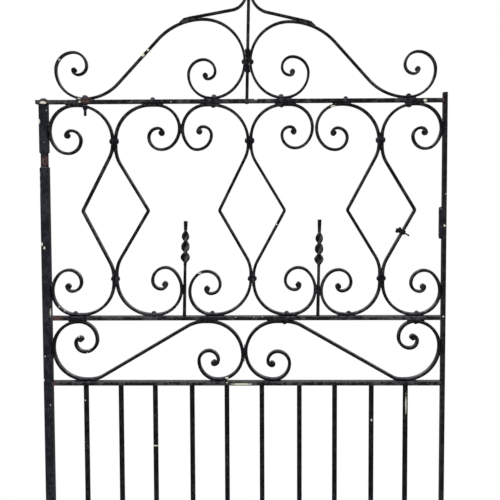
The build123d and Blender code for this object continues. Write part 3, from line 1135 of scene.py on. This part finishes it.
    def run_out(self, mesh: Mesh, toe: Toe) -> None:
        """Adds the wedge that runs the end of one bar out on another.

        Args:
            mesh: The mesh that takes the wedge.
            toe: Where it starts and how it leans.
        """
        at = Vector((toe.x, -self.depth / 2, toe.z)) * MM
        profile = (
            (self.toe_start, -self.toe_sunk),
            (self.toe_length, -self.toe_sunk),
            (self.toe_length, self.toe_low),
            (self.toe_start, self.toe_high),
        )
        corners = [
            at + toe.along * (run * MM) + toe.away * (rise * MM) for run, rise in profile
        ]
        Forge.block(mesh, corners, self.depth * MM)

    def round_off(self, mesh: Mesh) -> None:
        """Rounds the long edges of the fills.

        Args:
            mesh: The mesh of the fills.
        """
        bmesh.ops.recalc_face_normals(mesh, faces=mesh.faces[:])
        long_edges = [edge for edge in mesh.edges if edge.calc_length() > self.round_over * MM]
        Forge.bevel(mesh, long_edges, self.edge_round * MM, steps=2, clamp=True)


HEEL = IronPaint(
    "heel_stile_paint",
    chips=(
        Patch((-8.6, -12.5, 1556.4), (2.4, 6.0, 5.4)),
        Patch((2.0, -12.5, 1509.7), (0.9, 4.0, 0.9)),
        Patch((8.3, -12.5, 1581.0), (1.1, 4.0, 1.1)),
        Patch((-9.4, -10.0, 1436.6), (1.5, 6.0, 6.0)),
        Patch((-9.4, -10.0, 1421.0), (1.4, 6.0, 7.0)),
        Patch((-9.4, -10.0, 1403.0), (1.3, 6.0, 8.0)),
        Patch((-7.4, -12.5, 1280.8), (2.4, 5.0, 4.6)),
        Patch((-1.6, -12.5, 1271.7), (2.0, 5.0, 3.2)),
        Patch((9.3, -10.0, 1124.0), (1.5, 6.0, 10.0)),
        Patch((-4.7, -12.5, 1023.6), (1.2, 4.0, 1.4)),
        Patch((-8.3, -12.5, 968.3), (1.4, 4.0, 2.6)),
        Patch((5.6, -12.5, 910.6), (1.2, 4.0, 1.6)),
    ),
    rust=(
        Patch((2.5, -4.0, 1468.5), (12.0, 18.0, 13.0)),
        Patch((9.5, -8.0, 1146.0), (2.0, 8.0, 8.0)),
        Patch((0.0, 0.0, 20.0), (18.0, 18.0, 36.0)),
    ),
    speckle=0.695,
    tint=(0.0090, 0.0104, 0.0145),
    worn_tint=(0.0300, 0.0330, 0.0410),
    fleck=(0.155, 0.165, 0.185),
)
LATCH = IronPaint(
    "latch_stile_paint",
    chips=(
        Patch((901.3, -12.5, 1319.8), (2.2, 5.0, 2.8)),
        Patch((900.8, -12.5, 1113.5), (2.0, 5.0, 2.2)),
        Patch((903.6, -12.5, 1391.0), (1.2, 5.0, 1.2)),
    ),
    rust=(
        Patch((905.5, -6.0, 1560.0), (3.0, 12.0, 22.0)),
        Patch((901.5, 0.0, 62.0), (10.0, 18.0, 14.0)),
    ),
    tint=(0.0070, 0.0060, 0.0080),
    worn_tint=(0.0300, 0.0250, 0.0300),
)
RAIL_TINT = (0.0080, 0.0082, 0.0105)
RAIL_WORN_TINT = (0.0880, 0.0870, 0.0950)
TOP_RAIL = IronPaint(
    "top_rail_paint",
    chips=(
        Patch((0.6, -12.5, 1598.4), (7.6, 4.0, 3.4)),
        Patch((84.0, -12.5, 1599.6), (2.8, 4.0, 1.8)),
        Patch((288.6, -12.5, 1599.0), (1.0, 4.0, 1.0)),
        Patch((477.6, -12.5, 1603.2), (4.2, 4.0, 1.6)),
        Patch((855.9, -12.5, 1598.6), (3.8, 4.0, 3.2)),
    ),
    rust=(
        Patch((98.0, -8.0, 1600.8), (14.0, 14.0, 5.6)),
        Patch((896.0, -12.0, 1600.0), (5.0, 8.0, 5.0)),
    ),
    tint=RAIL_TINT,
    worn_tint=RAIL_WORN_TINT,
)
LOWER_RAILS = IronPaint(
    "lower_rails_paint",
    chips=(
        Patch((445.7, -12.5, 959.4), (26.0, 4.0, 1.9)),
        Patch((430.7, -12.5, 1113.0), (1.1, 4.0, 1.0)),
        Patch((471.3, -12.5, 1113.6), (1.1, 4.0, 0.9)),
        Patch((491.1, -12.5, 1113.8), (1.0, 4.0, 0.9)),
        Patch((410.4, -12.5, 962.6), (1.6, 4.0, 1.4)),
    ),
    rust=(
        Patch((24.0, -12.0, 1111.0), (14.0, 8.0, 5.0)),
        Patch((14.0, -10.0, 960.0), (8.0, 12.0, 5.0)),
    ),
    tint=RAIL_TINT,
    worn_tint=RAIL_WORN_TINT,
)
CREST = IronPaint(
    "crest_paint",
    chips=(
        Patch((226.5, -8.0, 1703.0), (4.0, 5.0, 4.0)),
        Patch((238.0, -8.0, 1714.0), (3.0, 5.0, 3.0)),
        Patch((39.1, -8.0, 1693.1), (2.6, 5.0, 3.2)),
        Patch((81.5, -7.0, 1607.4), (4.5, 5.0, 1.5)),
    ),
    rust=(Patch((98.0, -6.0, 1607.0), (14.0, 8.0, 4.0)),),
    worn_tint=(0.0500, 0.0490, 0.0540),
)
LYRES = IronPaint(
    "lyre_paint",
    chips=(
        Patch((652.0, -8.0, 1587.0), (6.0, 5.0, 2.6)),
        Patch((640.0, -8.0, 1551.0), (2.6, 5.0, 4.0)),
        Patch((28.7, -8.0, 1136.5), (1.4, 5.0, 1.4)),
        Patch((40.9, -8.0, 1127.8), (1.6, 5.0, 1.2)),
        Patch((350.0, -8.0, 1213.0), (5.0, 5.0, 1.4)),
        Patch((374.0, -8.0, 1205.0), (5.0, 5.0, 2.6)),
        Patch((400.5, -8.0, 1172.0), (1.6, 5.0, 6.0)),
        Patch((524.6, -8.0, 1323.3), (1.6, 4.0, 1.6)),
    ),
    worn_tint=(0.0480, 0.0470, 0.0520),
)
BAND = IronPaint(
    "band_paint",
    chips=(
        Patch((410.4, -8.0, 972.5), (4.0, 5.0, 2.4)),
        Patch((95.0, -8.0, 1037.5), (1.4, 5.0, 1.8)),
        Patch((91.5, -8.0, 1030.5), (1.2, 5.0, 1.4)),
        Patch((73.3, -8.0, 1067.7), (2.0, 5.0, 1.8)),
    ),
)
BARS = IronPaint(
    "bar_paint",
    chips=(
        Patch((84.1, -5.0, 920.3), (1.4, 4.0, 1.6)),
        Patch((246.0, 0.0, 814.5), (9.0, 9.0, 2.2)),
        Patch((740.3, -5.0, 874.6), (1.8, 4.0, 2.8)),
        Patch((818.6, -5.0, 912.0), (1.4, 4.0, 20.0)),
    ),
)
PLATE = IronPaint(
    "striking_plate_paint",
    tint=(0.0080, 0.0070, 0.0140),
    worn_tint=(0.0240, 0.0220, 0.0380),
)
HARDWARE = IronPaint(
    "rivet_and_weld_paint",
    speckle=0.78,
    tint=(0.0075, 0.0090, 0.0150),
    worn_tint=(0.0260, 0.0310, 0.0480),
    # Blue grey on top sides: dust and a painted highlight.
    dust_and_highlight_colour=(0.130, 0.138, 0.165),
)
# Only a little paler on top sides: dust and a painted highlight.
WIRE = IronPaint("wire_tie_paint", dust_and_highlight_colour=(0.03, 0.03, 0.034), coat=0.2)


class Dressing:
    """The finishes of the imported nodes, by the start of their names."""

    BY_NAME_START = {
        "heel_stile": HEEL,
        "latch_stile": LATCH,
        "top_rail": TOP_RAIL,
        "middle_rail": LOWER_RAILS,
        "lower_rail": LOWER_RAILS,
        "bottom_rail": LOWER_RAILS,
        "crest": CREST,
        "lyre": LYRES,
        "band": BAND,
        "bar": BARS,
        "twisted": LYRES,
        "striking": PLATE,
        "wire": WIRE,
    }

    def finish_of(self, node: str) -> IronPaint:
        """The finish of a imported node, by its name."""
        return next(
            paint for start, paint in self.BY_NAME_START.items() if node.startswith(start)
        )

    def apply(self, nodes: dict[str, bpy.types.Object]) -> None:
        """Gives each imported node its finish.

        Args:
            nodes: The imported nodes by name.
        """
        for name, node in nodes.items():
            paint = self.finish_of(name)
            node.data.materials.clear()
            node.data.materials.append(paint.material())
            log.info("%s: %s", name, paint.name)


@dataclass(frozen=True)
class Lamp:
    """A soft square lamp: where it hangs, the length of its side in metres, its power in watts."""

    name: str
    at: Point
    size: float
    power: float


@dataclass
class Studio:
    """Pale floor, plain soft light and the camera where the photographer stood.

    Sizes are in metres, and the camera's pitch, yaw and roll in degrees.
    """

    middle: Point = (0.45, 0.0, 1.0)
    lamps: tuple[Lamp, ...] = (
        Lamp("key_light", (-1.6, -2.6, 3.3), 2.2, 62.0),
        Lamp("fill_light", (2.9, -2.3, 2.0), 2.0, 24.0),
        Lamp("back_light", (0.6, 2.6, 3.0), 2.4, 34.0),
    )
    camera_at: Point = (0.505, -2.2634, 1.4296)
    camera_pitch: float = -4.16
    camera_yaw: float = 1.04
    camera_roll: float = -0.23
    camera_lens: float = 72.0
    camera_sensor: float = 36.0
    camera_near: float = 0.05
    floor_size: float = 30.0
    floor_colour: Colour = (0.80, 0.80, 0.80)
    floor_roughness: float = 0.9
    floor_specular: float = 0.1
    white_from: float = 1.4
    white_fade: Span = (0.3, 1.0)
    world_level: float = 0.55

    def build(self) -> None:
        """Makes the floor, the world, the lamps and the camera."""
        self.floor()
        self.world()
        for lamp in self.lamps:
            self.hang(lamp)
        self.camera()
        bpy.context.scene.view_settings.view_transform = "Standard"

    def floor(self) -> None:
        """A pale floor that keeps the leaf's shadow and runs out into white."""
        mesh = bmesh.new()
        bmesh.ops.create_grid(mesh, x_segments=1, y_segments=1, size=self.floor_size / 2)
        data = bpy.data.meshes.new("studio_floor")
        mesh.to_mesh(data)
        mesh.free()
        data.materials.append(self.floor_paint())
        made = bpy.data.objects.new("studio_floor", data)
        bpy.context.scene.collection.objects.link(made)

    def floor_paint(self) -> Material:
        """Paint that fades to plain white away from the leaf, where the camera sees it.

        Returns:
            The material.
        """
        paint = bpy.data.materials.new("studio_floor_paint")
        box = Paintbox(paint)
        pale = box.node(
            "ShaderNodeBsdfPrincipled",
            sockets={
                "Base Color": (*self.floor_colour, 1.0),
                "Roughness": self.floor_roughness,
                "Specular IOR Level": self.floor_specular,
            },
        )
        white = box.node("ShaderNodeEmission", sockets={"Color": WHITE, "Strength": 1.0})
        near = Patch((self.middle[0] / MM, 0.0, 0.0), (self.white_from / MM,) * 3)
        far = box.around(near).step(*self.white_fade)
        box.finish_mixed(far * box.seen(), pale, white)
        return paint

    def world(self) -> None:
        """White to look at, and a plain level of light on everything else."""
        world = bpy.data.worlds.new("studio_world")
        bpy.context.scene.world = world
        box = Paintbox(world)
        plain = box.node(
            "ShaderNodeBackground", sockets={"Color": WHITE, "Strength": self.world_level}
        )
        white = box.node("ShaderNodeBackground", sockets={"Color": WHITE, "Strength": 1.0})
        box.finish_mixed(box.seen(), plain, white, "ShaderNodeOutputWorld")

    def hang(self, lamp: Lamp) -> None:
        """Hangs a lamp that looks at the leaf's middle.

        Args:
            lamp: The lamp.
        """
        data = bpy.data.lights.new(lamp.name, "AREA")
        data.size = lamp.size
        data.energy = lamp.power
        made = bpy.data.objects.new(lamp.name, data)
        made.location = lamp.at
        aim = Vector(self.middle) - Vector(lamp.at)
        made.rotation_euler = aim.to_track_quat("-Z", "Y").to_euler()
        bpy.context.scene.collection.objects.link(made)

    def camera(self) -> None:
        """The camera, level with the upper part of the leaf and a little right of its middle."""
        data = bpy.data.cameras.new("front_camera")
        data.lens = self.camera_lens
        data.sensor_width = self.camera_sensor
        data.clip_start = self.camera_near
        made = bpy.data.objects.new("front_camera", data)
        turn = (
            Matrix.Rotation(math.radians(self.camera_yaw), 4, "Z")
            @ Matrix.Rotation(math.radians(90.0 + self.camera_pitch), 4, "X")
            @ Matrix.Rotation(math.radians(self.camera_roll), 4, "Z")
        )
        made.matrix_world = Matrix.Translation(self.camera_at) @ turn
        bpy.context.scene.collection.objects.link(made)
        bpy.context.scene.camera = made


def main() -> None:
    """Builds the studio and the pieces in order."""
    logging.basicConfig(level=logging.INFO, format="%(name)s: %(message)s")
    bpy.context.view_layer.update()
    Studio().build()
    Dressing().apply(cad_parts)
    hardware = HARDWARE.material()
    Rivets(hardware).build()
    NutAndBolt(hardware).build()
    Eyes(LYRES.material()).build()
    Knot(WIRE.material()).build()
    Fills(hardware).build()


if __name__ == "__main__":
    main()
